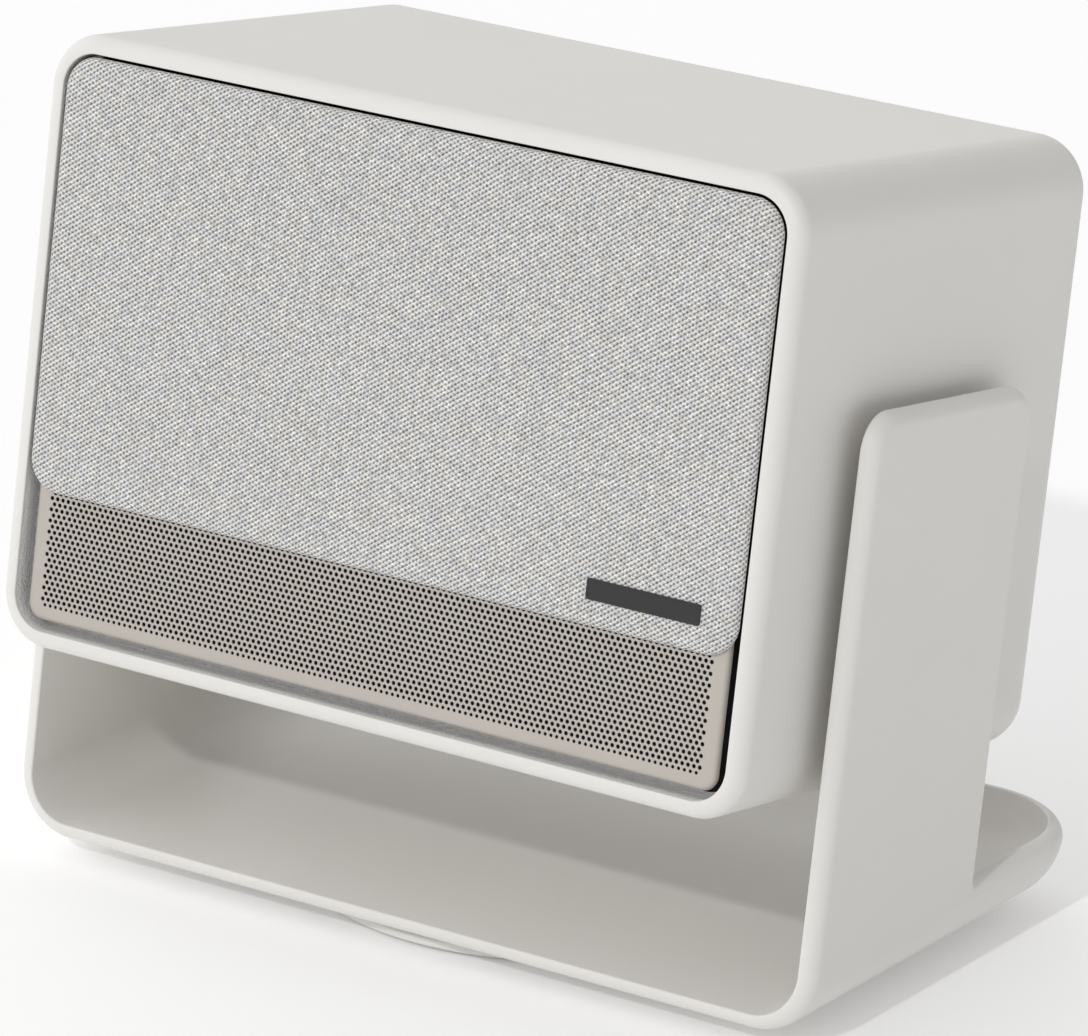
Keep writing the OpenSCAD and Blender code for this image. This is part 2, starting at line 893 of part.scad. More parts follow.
module cover_frame() {
    color([0.6, 0.6, 0.6]) head() difference() {
        union() {
            panel(cover_w - 2 * fabric_t, cover_h - 2 * fabric_t, cover_r - fabric_t,
                  fabric_y + fabric_t, frame_back, cover_z);
            both_sides() block([hook_in, frame_back - 0.6, hook_z[0]], [hook_out, hook_back, hook_z[1]]);
        }
        both_sides() translate([rail_x, rail_y, hook_z[0] - 1])
            cylinder(r = rail_r + fit, h = hook_z[1] - hook_z[0] + 2);
    }
}

module cover_fabric() {
    color(cloth) head() difference() {
        panel(cover_w, cover_h, cover_r, fabric_y, frame_back - 0.1, cover_z);
        panel(cover_w - 2 * fabric_t, cover_h - 2 * fabric_t, cover_r - fabric_t,
              fabric_y + fabric_t, frame_back + 1, cover_z);
    }
}

module badge_plate() {
    color(graphite) head()
        translate([badge_at[0], 0, 0]) panel(badge[0], badge[1], 0.5, fabric_y - 0.5, fabric_y, badge_at[1]);
}

module cover_rack() {
    first = pinion_z + pitch / 2 - pitch * floor((pinion_z - rack_span[0]) / pitch);
    last = rack_span[1] - pitch / 2;
    color("white") head() {
        block([rack_back, gear_y[0], rack_span[0]], [rack_line - 1.2, gear_y[1], rack_span[1]]);
        for (z = [first : pitch : last])
            translate([rack_line, gear_y[1], z]) rotate([90, 0, 0]) linear_extrude(gear_y[1] - gear_y[0])
                polygon([[-1.4, -0.85], [0, -0.56], [0.85, -0.25], [0.85, 0.25], [0, 0.56], [-1.4, 0.85]]);
    }
}

foot_pad();
foot_disc();
lower_race();
bearing_balls();
swivel_spindle();
retaining_ring();
yoke();
base_weight();
base_cover();
upper_race();
base_screws();
tilt_bushes();
shell();
front_bezel();
rear_cover();
rear_screws();
port_plate();
hdmi_sockets();
usb_socket();
audio_jack();
power_inlet();
button_switch();
grille();
acoustic_mesh();
window_glass();
cover_rails();
chassis();
engine_shelf();
tilt_brackets();
bracket_screws();
tilt_shafts();
friction_washers();
speaker_box_left();
speaker_box_right();
driver_left();
driver_right();
driver_magnets();
driver_cones();
light_engine();
lens_barrel();
lens_glass();
focus_motor();
camera_module();
remote_receiver();
heat_sink();
heat_pipes();
fan_frames();
main_board();
power_supply();
cover_motor();
power_button();
focus_ring();
focus_pinion();
fan_rotor_left();
fan_rotor_right();
cover_pinion();
cover_frame();
cover_fabric();
badge_plate();
cover_rack();
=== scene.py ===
"""Smart speaker with a projector behind its sliding fabric cover, on a tilting yoke and a swivel foot."""
import json
import math

import bmesh
import bpy
import numpy as np
from mathutils import Matrix, Vector, geometry


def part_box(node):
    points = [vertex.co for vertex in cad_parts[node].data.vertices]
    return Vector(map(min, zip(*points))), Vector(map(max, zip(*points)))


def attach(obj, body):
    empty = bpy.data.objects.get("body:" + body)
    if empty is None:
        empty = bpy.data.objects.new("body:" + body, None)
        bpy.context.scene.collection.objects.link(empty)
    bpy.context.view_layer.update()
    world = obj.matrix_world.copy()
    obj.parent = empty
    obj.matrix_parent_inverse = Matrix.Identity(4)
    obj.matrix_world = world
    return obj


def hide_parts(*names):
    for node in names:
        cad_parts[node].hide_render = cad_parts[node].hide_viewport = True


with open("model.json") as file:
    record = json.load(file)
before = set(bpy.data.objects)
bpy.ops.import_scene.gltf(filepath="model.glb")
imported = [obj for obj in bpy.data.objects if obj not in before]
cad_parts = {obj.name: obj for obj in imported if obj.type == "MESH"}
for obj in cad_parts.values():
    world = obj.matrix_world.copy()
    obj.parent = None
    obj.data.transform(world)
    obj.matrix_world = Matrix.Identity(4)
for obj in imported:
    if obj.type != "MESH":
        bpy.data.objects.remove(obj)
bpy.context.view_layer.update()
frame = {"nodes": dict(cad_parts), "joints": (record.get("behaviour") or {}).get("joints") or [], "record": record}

MM = 0.001
NODES = frame["nodes"]
JOINTS = {j["name"]: j for j in frame["joints"]}

# ---- the head's own frame: X right, Y rear, Z up along the head, origin on the tilt axis ----

head_up = -Vector(JOINTS["cover_slide"]["axis"]).normalized()
head_right = Vector((1, 0, 0))
head_rear = head_up.cross(head_right)
PIVOT = Vector(JOINTS["tilt"]["pos_m"])
HEAD = Matrix.Translation(PIVOT) @ Matrix((head_right, head_rear, head_up)).transposed().to_4x4()
ROW = Matrix.Identity(4)


def head_box(node):
    """Lowest and highest corner of a CAD node in the head's frame, in millimetres."""
    to_head = HEAD.inverted()
    points = np.array([to_head @ v.co for v in NODES[node].data.vertices])
    return points.min(0) / MM, points.max(0) / MM


def row_box(node):
    """Lowest and highest corner of a CAD node in the row's frame, in millimetres."""
    low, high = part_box(node)
    return np.array(low) / MM, np.array(high) / MM


# ---- sizes, in millimetres ----

shell_low, shell_high = head_box("shell")
HALF_W, HALF_H = shell_high[0], shell_high[2]
FRONT, BACK = shell_low[1], shell_high[1]
CORNER = 16.0
RIM = 5.4
WALL = 3.0
LIP = 1.0
FRONT_ROUND = 4.5
REAR_ROUND = 8.0
REAR_T = 2.4
REAR_GAP = 0.3
PANEL_T = 2.0

# ---- outlines and meshes ----


def arc(centre, radius, start, end, steps):
    """Points on an arc in a plane, angles in degrees."""
    angles = [math.radians(start + (end - start) * i / steps) for i in range(steps + 1)]
    return [(centre[0] + radius * math.cos(a), centre[1] + radius * math.sin(a)) for a in angles]


def rounded_outline(half_w, half_h, radius, steps=14, centre=(0, 0)):
    """A rectangle with round corners, counter-clockwise."""
    x, z = half_w - radius, half_h - radius
    corners = [(x, z), (-x, z), (-x, -z), (x, -z)]
    points = []
    for i, (cx, cz) in enumerate(corners):
        points += arc((cx + centre[0], cz + centre[1]), radius, 90 * i, 90 * i + 90, steps)
    return points


def finish_mesh(name, bm, matrix, smooth_angle=35):
    """Turns a bmesh in millimetres into an object in metres."""
    bmesh.ops.recalc_face_normals(bm, faces=bm.faces)
    mesh = bpy.data.meshes.new(name)
    bm.to_mesh(mesh)
    bm.free()
    mesh.transform(Matrix.Scale(MM, 4))
    mesh.polygons.foreach_set("use_smooth", [True] * len(mesh.polygons))
    mesh.set_sharp_from_angle(angle=math.radians(smooth_angle))
    piece = bpy.data.objects.new(name, mesh)
    bpy.context.scene.collection.objects.link(piece)
    piece.matrix_world = matrix
    return piece


def weigh_normals(piece):
    """Keeps the large flat faces flat beside their rounded edges."""
    weighted = piece.modifiers.new("weighted_normals", "WEIGHTED_NORMAL")
    weighted.keep_sharp = True
    weighted.weight = 80
    return piece


def place(piece, body, slot, material, *replaced):
    piece.data.materials.append(material)
    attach(piece, body)
    if replaced:
        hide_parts(*replaced)
    return piece


def add_ring(bm, points, y):
    return [bm.verts.new((x, y, z)) for x, z in points]


def bridge(bm, ring_a, ring_b):
    count = len(ring_a)
    for i in range(count):
        j = (i + 1) % count
        bm.faces.new((ring_a[i], ring_a[j], ring_b[j], ring_b[i]))


def loft(bm, profile, half_w, half_h, radius, centre=(0, 0), closed=False, steps=14):
    """Sweeps a profile of (inset, y) points round a rounded rectangle. Returns its rings."""
    rings = []
    for inset, y in profile:
        outline = rounded_outline(half_w - inset, half_h - inset, max(radius - inset, 0.4), steps, centre)
        rings.append(add_ring(bm, outline, y))
    for ring_a, ring_b in zip(rings, rings[1:]):
        bridge(bm, ring_a, ring_b)
    if closed:
        bridge(bm, rings[-1], rings[0])
    return rings


def lathe(bm, profile, steps=96, matrix=ROW, closed=False):
    """Turns a profile of (radius, height) points about Z."""
    rings = []
    for radius, height in profile:
        if radius < 1e-6:
            rings.append([bm.verts.new(matrix @ Vector((0, 0, height)))])
            continue
        ring = []
        for i in range(steps):
            a = 2 * math.pi * i / steps
            ring.append(bm.verts.new(matrix @ Vector((radius * math.cos(a), radius * math.sin(a), height))))
        rings.append(ring)
    pairs = list(zip(rings, rings[1:]))
    if closed:
        pairs.append((rings[-1], rings[0]))
    for ring_a, ring_b in pairs:
        if len(ring_a) == len(ring_b):
            bridge(bm, ring_a, ring_b)
            continue
        tip, ring = (ring_a[0], ring_b) if len(ring_a) == 1 else (ring_b[0], ring_a)
        for i in range(len(ring)):
            bm.faces.new((ring[i], ring[(i + 1) % len(ring)], tip))


def inside(points, outline):
    """Which of many points lie inside a closed outline."""
    points = np.asarray(points)
    result = np.zeros(len(points), bool)
    count = len(outline)
    for i in range(count):
        (x0, z0), (x1, z1) = outline[i], outline[(i + 1) % count]
        if z0 == z1:
            continue
        crosses = (points[:, 1] < max(z0, z1)) & (points[:, 1] >= min(z0, z1))
        at = x0 + (points[:, 1] - z0) / (z1 - z0) * (x1 - x0)
        result ^= crosses & (points[:, 0] < at)
    return result


def sheet_with_holes(bm, outline, holes, y, is_hole=None):
    """Flat face at y inside an outline, open where the holes are. Returns the rings of vertices."""
    loops = [outline] + holes
    points, edges = [], []
    for loop in loops:
        first = len(points)
        points += [Vector(p) for p in loop]
        edges += [(first + i, first + (i + 1) % len(loop)) for i in range(len(loop))]
    flat, _, faces, _, _, _ = geometry.delaunay_2d_cdt(points, edges, [], 0, 1e-6)
    centres = np.array([[sum(flat[i][k] for i in f) / len(f) for k in (0, 1)] for f in faces])
    keep = inside(centres, outline)
    if is_hole is not None:
        keep &= ~is_hole(centres)
    else:
        for hole in holes:
            keep &= ~inside(centres, hole)
    made = [bm.verts.new((p[0], y, p[1])) for p in flat]
    for face, kept in zip(faces, keep):
        if kept:
            bm.faces.new([made[i] for i in face])
    rings, first = [], 0
    for loop in loops:
        rings.append(made[first : first + len(loop)])
        first += len(loop)
    return rings


def wall_back(bm, ring, y):
    """A wall from a ring of vertices straight back to y. Returns the new ring."""
    back = [bm.verts.new((v.co.x, y, v.co.z)) for v in ring]
    bridge(bm, ring, back)
    return back


# ---- materials ----


class Nodes:
    """Short names for building a node material on the object's own coordinates, in millimetres."""

    def __init__(self, name):
        self.material = bpy.data.materials.new(name)
        self.material.use_nodes = True
        self.tree = self.material.node_tree
        self.shader = self.tree.nodes["Principled BSDF"]
        coords = self.add("ShaderNodeTexCoord")
        scale = self.add("ShaderNodeVectorMath")
        scale.operation = "SCALE"
        scale.inputs["Scale"].default_value = 1 / MM
        self.link(coords.outputs["Object"], scale.inputs[0])
        self.place = scale.outputs[0]

    def add(self, kind):
        return self.tree.nodes.new(kind)

    def link(self, output, socket):
        self.tree.links.new(output, socket)

    def math(self, operation, a, b=None, c=None):
        node = self.add("ShaderNodeMath")
        node.operation = operation
        for socket, value in zip(node.inputs, (a, b, c)):
            if value is None:
                continue
            if isinstance(value, (int, float)):
                socket.default_value = value
            else:
                self.link(value, socket)
        return node.outputs[0]

    def axes(self, vector=None):
        node = self.add("ShaderNodeSeparateXYZ")
        self.link(vector or self.place, node.inputs[0])
        return node.outputs

    def noise(self, size, detail=3.0, rough=0.55, vector=None):
        """Noise from 0 to 1 whose blobs are about `size` millimetres across."""
        node = self.add("ShaderNodeTexNoise")
        node.inputs["Scale"].default_value = 1 / size
        node.inputs["Detail"].default_value = detail
        node.inputs["Roughness"].default_value = rough
        self.link(vector or self.place, node.inputs["Vector"])
        return node.outputs["Fac"]

    def cells(self, size):
        node = self.add("ShaderNodeTexVoronoi")
        node.inputs["Scale"].default_value = 1 / size
        self.link(self.place, node.inputs["Vector"])
        return node.outputs["Distance"]

    def stretched(self, factors):
        node = self.add("ShaderNodeVectorMath")
        node.operation = "MULTIPLY"
        node.inputs[1].default_value = factors
        self.link(self.place, node.inputs[0])
        return node.outputs[0]

    def remap(self, value, low, high, to_low, to_high):
        node = self.add("ShaderNodeMapRange")
        for name, number in zip(("From Min", "From Max", "To Min", "To Max"), (low, high, to_low, to_high)):
            node.inputs[name].default_value = number
        self.link(value, node.inputs["Value"])
        return node.outputs["Result"]

    def mix(self, factor, dark, light):
        node = self.add("ShaderNodeMix")
        node.data_type = "RGBA"
        for socket, value in zip((node.inputs[0], node.inputs[6], node.inputs[7]), (factor, dark, light)):
            if isinstance(value, tuple):
                socket.default_value = (*value, 1)
            else:
                self.link(value, socket)
        return node.outputs[2]

    def colour(self, output):
        self.link(output, self.shader.inputs["Base Color"])

    def rough(self, output):
        self.link(output, self.shader.inputs["Roughness"])

    def bump(self, height, depth):
        """Relief of `depth` millimetres between height 0 and 1."""
        node = self.add("ShaderNodeBump")
        node.inputs["Distance"].default_value = depth * MM
        node.inputs["Strength"].default_value = 1
        self.link(height, node.inputs["Height"])
        self.link(node.outputs["Normal"], self.shader.inputs["Normal"])


def scaled(colour, factor):
    return tuple(min(c * factor, 1.0) for c in colour)


def moulded(name, colour, rough=0.5, grain=0.35, relief=0.012, specular=0.5):
    """Moulded plastic with a fine grain."""
    n = Nodes(name)
    fine = n.noise(grain, 2)
    broad = n.noise(45, 2)
    n.colour(n.mix(broad, scaled(colour, 0.975), scaled(colour, 1.02)))
    n.rough(n.remap(fine, 0.3, 0.7, rough - 0.05, rough + 0.07))
    n.bump(fine, relief)
    n.shader.inputs["Specular IOR Level"].default_value = specular
    return n.material


def leather_grain(name, colour):
    """Moulded plastic with a fine leather grain."""
    n = Nodes(name)
    creases = n.cells(0.62)
    fine = n.noise(0.3, 3)
    relief = n.math("ADD", n.math("MULTIPLY", creases, 0.8), n.math("MULTIPLY", fine, 0.4))
    n.colour(n.mix(n.remap(relief, 0.15, 0.75, 0, 1), scaled(colour, 0.88), scaled(colour, 1.02)))
    n.rough(n.remap(fine, 0.3, 0.7, 0.5, 0.68))
    n.bump(relief, 0.34)
    return n.material


def metal(name, colour, rough=0.35, metallic=1.0, brushed=0.0, relief=0.006):
    n = Nodes(name)
    grain = n.noise(0.5, 3, vector=n.stretched((0.04, 1, 1))) if brushed else n.noise(0.25, 2)
    broad = n.noise(30, 2)
    n.colour(n.mix(broad, scaled(colour, 0.96), scaled(colour, 1.04)))
    n.rough(n.remap(grain, 0.3, 0.7, rough - 0.05, rough + 0.08))
    n.bump(grain, relief)
    n.shader.inputs["Metallic"].default_value = metallic
    return n.material


def glass(name, colour, alpha_rough=0.04, transmission=1.0):
    n = Nodes(name)
    smear = n.noise(12, 3)
    n.colour(n.mix(smear, scaled(colour, 0.96), colour))
    n.rough(n.remap(smear, 0.4, 0.7, alpha_rough, alpha_rough + 0.05))
    n.shader.inputs["Transmission Weight"].default_value = transmission
    n.shader.inputs["IOR"].default_value = 1.5
    return n.material


# Repeat of the weave across and up, millimetres per unit of its coordinates, and the two yarns' colours
WEAVE_X, WEAVE_Z = 1.10, 0.75
WEAVE_UNIT = 100.0
CLOTH_COOL, CLOTH_WARM = (0.79, 0.79, 0.80), (0.835, 0.81, 0.77)


def melange_twill(name):
    """Light grey cloth: raised diagonal ribs and small pits between them, with painted light on the ribs and
    painted shade in the pits, and a mix of yarn colours.
    """
    n = Nodes(name)
    flat = n.add("ShaderNodeUVMap")
    flat.uv_map = "weave"
    x, z, _ = n.axes(flat.outputs[0])
    wander = n.noise(3.5, 2)
    x = n.math("ADD", n.math("MULTIPLY", x, WEAVE_UNIT), n.remap(wander, 0.3, 0.7, -0.12, 0.12))
    u = n.math("MULTIPLY", x, math.pi / WEAVE_X)
    v = n.math("MULTIPLY", z, WEAVE_UNIT * math.pi / WEAVE_Z)
    rib = n.math("SUBTRACT", u, v)
    crossing = n.math("COSINE", n.math("ADD", u, v))
    column = n.math("COSINE", n.math("MULTIPLY", u, 2))
    steep_side = n.math("COSINE", n.math("MULTIPLY_ADD", rib, 2, math.radians(150)))
    weave = n.math("MULTIPLY_ADD", crossing, 0.6, n.math("COSINE", rib))
    weave = n.math("MULTIPLY_ADD", column, -0.45, weave)
    weave = n.math("MULTIPLY_ADD", steep_side, 0.35, weave)
    slub = n.noise(1.1, 2)
    weave = n.math("MULTIPLY", weave, n.remap(slub, 0.3, 0.7, 0.75, 1.2))
    fibre = n.noise(0.45, 3)
    # The weave pattern lightens the colour on the ribs and darkens it in the pits. This is painted light and shade
    # of the relief, added to the yarns' real fibre tone.
    pit_shade_and_tone = n.math("ADD", n.math("MULTIPLY", weave, 0.15), n.remap(fibre, 0.25, 0.75, -0.16, 0.16))
    pit_shade_and_tone = n.math("ADD", pit_shade_and_tone, n.remap(n.noise(1.6, 2), 0.3, 0.7, -0.06, 0.06))
    light = n.math("POWER", n.math("MAXIMUM", n.math("ADD", pit_shade_and_tone, 0.80), 0.02), 2.2)
    warm = n.remap(n.noise(2.2, 2), 0.40, 0.62, 0, 1)
    yarn = n.mix(warm, CLOTH_COOL, CLOTH_WARM)
    shade = n.add("ShaderNodeVectorMath")
    shade.operation = "SCALE"
    n.link(yarn, shade.inputs[0])
    n.link(light, shade.inputs["Scale"])
    n.colour(shade.outputs[0])
    n.shader.inputs["Roughness"].default_value = 0.92
    n.shader.inputs["Specular IOR Level"].default_value = 0.2
    n.bump(pit_shade_and_tone, 0.25)
    return n.material


def circuit(name, colour):
    n = Nodes(name)
    tracks = n.cells(3.0)
    n.colour(n.mix(n.remap(tracks, 0.3, 0.5, 0, 1), colour, scaled(colour, 2.2)))
    n.rough(n.remap(tracks, 0.2, 0.6, 0.3, 0.5))
    n.bump(tracks, 0.03)
    return n.material


WHITE = (0.755, 0.738, 0.708)
MATERIALS = {
    "shell_white": moulded("white_shell", WHITE, rough=0.46, grain=0.3, relief=0.006),
    # The bezel's grained white is set lighter than the shell's white. This paints light into the shaded recess of
    # the front opening.
    "bezel_grey": leather_grain("grained_bezel", (0.94, 0.93, 0.915)),
    "cloth": melange_twill("melange_cloth"),
    "cover_plastic": moulded("cover_backing", (0.012, 0.012, 0.012), rough=0.7),
    "badge_black": moulded("badge_black", (0.016, 0.016, 0.018), rough=0.34),
    "champagne": metal("satin_grille", (0.52, 0.48, 0.44), rough=0.5, metallic=0.55, relief=0.004),
    # Near-black gauze is real black cloth, set darker than the other blacks. It also paints the shade seen through
    # the grille's holes and beside the grille.
    "mesh_black": moulded("gauze_and_hole_shade", (0.006, 0.006, 0.006), rough=0.9, grain=0.6, relief=0.1),
    "rubber_black": moulded("rubber", (0.03, 0.03, 0.03), rough=0.8, grain=0.5, relief=0.03),
    "graphite": moulded("graphite_plastic", (0.035, 0.035, 0.038), rough=0.55, grain=0.4, relief=0.02),
    "receiver_red": moulded("receiver_window", (0.06, 0.004, 0.008), rough=0.12, relief=0.0),
    "cone_paper": moulded("cone_paper", (0.03, 0.03, 0.03), rough=0.85, grain=0.8, relief=0.06),
    "steel": metal("plated_steel", (0.52, 0.53, 0.55), rough=0.32, brushed=1.0),
    "nylon_white": moulded("nylon", (0.72, 0.71, 0.68), rough=0.5),
    "alloy": metal("mill_alloy", (0.66, 0.67, 0.69), rough=0.3, brushed=1.0),
    "copper": metal("drawn_copper", (0.66, 0.33, 0.20), rough=0.25, brushed=1.0),
    "board_green": circuit("circuit_board", (0.01, 0.09, 0.04)),
    "supply_grey": metal("zinc_case", (0.32, 0.32, 0.33), rough=0.45),
    "window_tint": glass("tinted_window", (0.10, 0.10, 0.12), transmission=0.9),
    "lens_clear": glass("coated_lens", (0.80, 0.86, 0.95)),
}

for part in frame["record"]["subparts"]:
    slots = NODES[part["node"]].data.materials
    slots.clear()
    slots.append(MATERIALS[part["material_slot"]])

# ---- shell and rear cover ----


def make_shell():
    seam = math.degrees(math.acos(1 - WALL / REAR_ROUND))
    profile = [(RIM, FRONT + LIP)]
    profile += arc((RIM - 0.4, FRONT + 0.4), 0.4, 0, -90, 4)
    profile += arc((FRONT_ROUND, FRONT + FRONT_ROUND), FRONT_ROUND, -90, -180, 10)
    profile += arc((REAR_ROUND, BACK - REAR_ROUND), REAR_ROUND, 180, 180 - seam, 8)
    profile += [(WALL, BACK - REAR_ROUND), (WALL, FRONT + LIP)]
    bm = bmesh.new()
    loft(bm, profile, HALF_W, HALF_H, CORNER, closed=True, steps=20)
    shell = weigh_normals(finish_mesh("shell_skin", bm, HEAD))
    return place(shell, "head", "shell_white", MATERIALS["shell_white"], "shell")


def slot_outline(x, z, half_w, half_h, steps=4):
    return rounded_outline(half_w, half_h, min(half_w, half_h) * 0.98, steps, (x, z))


def rear_openings():
    """Outlines cut through the rear cover: air slots, the socket window, the inlet and the button."""
    fan_low, fan_high = head_box("fan_rotor_right")
    fan_x, fan_z = (fan_low[0] + fan_high[0]) / 2, (fan_low[2] + fan_high[2]) / 2
    holes = []
    for side in (-1, 1):
        holes += [slot_outline(side * fan_x, fan_z + 4.4 * i, 24, 1.1) for i in range(-5, 6)]
    plate_low, plate_high = head_box("port_plate")
    centre = (plate_low + plate_high) / 2
    size = (plate_high - plate_low) / 2
    holes.append(rounded_outline(size[0] - 5, size[2] - 4, 2.5, 6, (centre[0], centre[2])))
    for node, grow, radius in (("power_inlet", 0.15, 2), ("power_button", -1.4, 8.1)):
        low, high = head_box(node)
        middle, half = (low + high) / 2, (high - low) / 2 + grow
        steps = 6 if radius < 3 else 16
        radius = min(radius, half[0] - 0.01)
        holes.append(rounded_outline(half[0], half[2], radius, steps, (middle[0], middle[2])))
    return holes


def make_rear_cover():
    """Rear panel with a round edge, a little smaller than the shell's own opening."""
    start = math.degrees(math.acos(1 - (WALL + REAR_GAP) / REAR_ROUND))
    y_face = BACK - REAR_GAP
    y_inner = y_face - REAR_T
    profile = [(WALL + REAR_GAP, y_inner)]
    profile += arc((REAR_ROUND, y_face - REAR_ROUND), REAR_ROUND, 180 - start, 90, 6)
    bm = bmesh.new()
    rings = loft(bm, profile, HALF_W, HALF_H, CORNER, steps=14)
    edge = [(v.co.x, v.co.z) for v in rings[-1]]
    holes = rear_openings()
    mouths = sheet_with_holes(bm, edge, holes, y_face)
    for ring in mouths[1:]:
        wall_back(bm, ring, y_inner)
    back_edge = [(v.co.x, v.co.z) for v in rings[0]]
    sheet_with_holes(bm, back_edge, holes, y_inner)
    bmesh.ops.remove_doubles(bm, verts=bm.verts, dist=1e-4)
    cover = weigh_normals(finish_mesh("rear_panel", bm, HEAD))
    return place(cover, "head", "shell_white", MATERIALS["shell_white"], "rear_cover")


# ---- bezel, grille and cover ----


def make_bezel():
    """Grained lining of the front opening, from the rim back to the black panel."""
    panel_y = head_box("grille")[1][1]
    start, fillet, outer = FRONT + LIP + 0.02, 1.2, WALL + 0.2
    profile = [(RIM, start)]
    profile += arc((RIM + fillet, panel_y - fillet), fillet, 180, 90, 5)
    profile += [(RIM + fillet, panel_y + 1), (outer, panel_y + 1), (outer, start)]
    bm = bmesh.new()
    loft(bm, profile, HALF_W, HALF_H, CORNER, closed=True)
    bezel = weigh_normals(finish_mesh("bezel_lining", bm, HEAD))
    return place(bezel, "head", "bezel_grey", MATERIALS["bezel_grey"], "front_bezel")


# The cover's hooks: their middle inwards from the rails' outer side, and the half size of their slots
HOOK_IN = 4.6
HOOK_BELOW_WINDOW = 5.0
HOOK_SLOT = (3.1, 33.2)


def make_front_panel():
    """Black panel behind the cover, open at the window, the speakers and the cover's guide slots; it is so dark
    that it also paints the shade seen through the grille's holes.
    """
    panel_y = head_box("grille")[1][1]
    rail_low, _ = head_box("cover_rails")
    window_low, window_high = head_box("window_glass")
    travel = JOINTS["cover_slide"]["range_m"][1] / MM
    slot_x = -rail_low[0] - HOOK_IN
    outline = rounded_outline(HALF_W - RIM - 1, HALF_H - RIM - 1, CORNER - RIM - 1)
    window_centre = (0, (window_low[2] + window_high[2]) / 2)
    window_half = ((window_high[0] - window_low[0]) / 2 - 1.5, (window_high[2] - window_low[2]) / 2 - 1.5)
    holes = [rounded_outline(*window_half, 3, 6, window_centre)]
    driver_low, driver_high = head_box("driver_right")
    middle, half = (driver_low + driver_high) / 2, (driver_high - driver_low) / 2 + 1
    holes += [rounded_outline(half[0], half[2], 4, 5, (side * middle[0], middle[2])) for side in (-1, 1)]
    slot_z = window_centre[1] - HOOK_BELOW_WINDOW - travel / 2
    holes += [rounded_outline(*HOOK_SLOT, 0.3, 6, (side * slot_x, slot_z)) for side in (-1, 1)]
    bm = bmesh.new()
    rings = sheet_with_holes(bm, outline, holes, panel_y + 0.1)
    for ring in rings:
        wall_back(bm, ring, panel_y + PANEL_T)
    sheet_with_holes(bm, outline, holes, panel_y + PANEL_T)
    bmesh.ops.remove_doubles(bm, verts=bm.verts, dist=1e-4)
    panel = finish_mesh("front_panel", bm, HEAD)
    return place(panel, "head", "graphite", MATERIALS["mesh_black"])


HOLE_PITCH = 1.9
HOLE_R = 0.64
HOLE_STEPS = 12
HOLE_ROWS = 23
FIRST_ROW = 4.8
LOW_ROW_SCALE = 0.84
SIDE_MARGIN = 4.9
CORNER_MARGIN = 3.2
GRILLE_CORNER = 5.0
EDGE_ROUND = 1.6
EDGE_DEPTH = 1.7
EDGE_T = 0.9


def make_grille():
    """Plate with turned edges and staggered round holes, smaller in the lowest row."""
    low, high = head_box("grille")
    half_w, half_h = (high[0] - low[0]) / 2, (high[2] - low[2]) / 2
    centre = (0, (low[2] + high[2]) / 2)
    face_y, radius = low[1], GRILLE_CORNER
    row = HOLE_PITCH * math.sin(math.radians(60))
    first_z = low[2] + FIRST_ROW
    count = int((half_w - SIDE_MARGIN) / HOLE_PITCH)
    centres, sizes = [], []
    for j in range(HOLE_ROWS):
        shift = 0 if j % 2 else HOLE_PITCH / 2
        for i in range(-count - 1, count + 2):
            x, z = i * HOLE_PITCH + shift, first_z + j * row
            corner_x, corner_z = abs(x) - (half_w - radius), (low[2] + radius) - z
            if corner_x > 0 and corner_z > 0 and math.hypot(corner_x, corner_z) > radius - CORNER_MARGIN:
                continue
            if abs(x) > half_w - SIDE_MARGIN:
                continue
            centres.append((x, z))
            sizes.append(HOLE_R * (LOW_ROW_SCALE if j == 0 else 1))
    holes = [arc(c, r, 0, 360 - 360 / HOLE_STEPS, HOLE_STEPS - 1) for c, r in zip(centres, sizes)]
    made = {(round(float(x), 3), round(float(z), 3)) for x, z in centres}

    def is_hole(points):
        """Which points lie in the nearest hole of the staggered pattern, if that hole was made."""
        rows_of = np.clip(np.round((points[:, 1] - first_z) / row), 0, HOLE_ROWS - 1)
        shift = np.where(rows_of % 2 == 0, HOLE_PITCH / 2, 0)
        near_x = np.round((points[:, 0] - shift) / HOLE_PITCH) * HOLE_PITCH + shift
        near_z = first_z + rows_of * row
        apart = np.hypot(points[:, 0] - near_x, points[:, 1] - near_z)
        real = np.array([(round(float(x), 3), round(float(z), 3)) in made for x, z in zip(near_x, near_z)])
        size = np.where(rows_of == 0, HOLE_R * LOW_ROW_SCALE, HOLE_R)
        return real & (apart < size)

    bm = bmesh.new()
    flat = rounded_outline(half_w - EDGE_ROUND, half_h - EDGE_ROUND, radius - EDGE_ROUND, 14, centre)
    rings = sheet_with_holes(bm, flat, holes, face_y, is_hole)
    for ring in rings[1:]:
        wall_back(bm, ring, face_y + 0.15)
    profile = arc((EDGE_ROUND, face_y + EDGE_ROUND), EDGE_ROUND, -90, -180, 6)
    profile += [(0, face_y + EDGE_DEPTH), (EDGE_T, face_y + EDGE_DEPTH), (EDGE_T, face_y + EDGE_ROUND)]
    profile.append((EDGE_ROUND + 0.5, face_y + EDGE_T))
    loft(bm, profile, half_w, half_h, radius, centre)
    bmesh.ops.remove_doubles(bm, verts=bm.verts, dist=1e-4)
    grille = finish_mesh("perforated_grille", bm, HEAD)
    return place(grille, "head", "champagne", MATERIALS["champagne"], "grille")


CLOTH_ROUND = 2.9
CLOTH_CORNER = 10.0
CLOTH_DEPTH = 1.8
CLOTH_SHORT = (0.5, 0.3)
CLOTH_RELIEF = 0.06


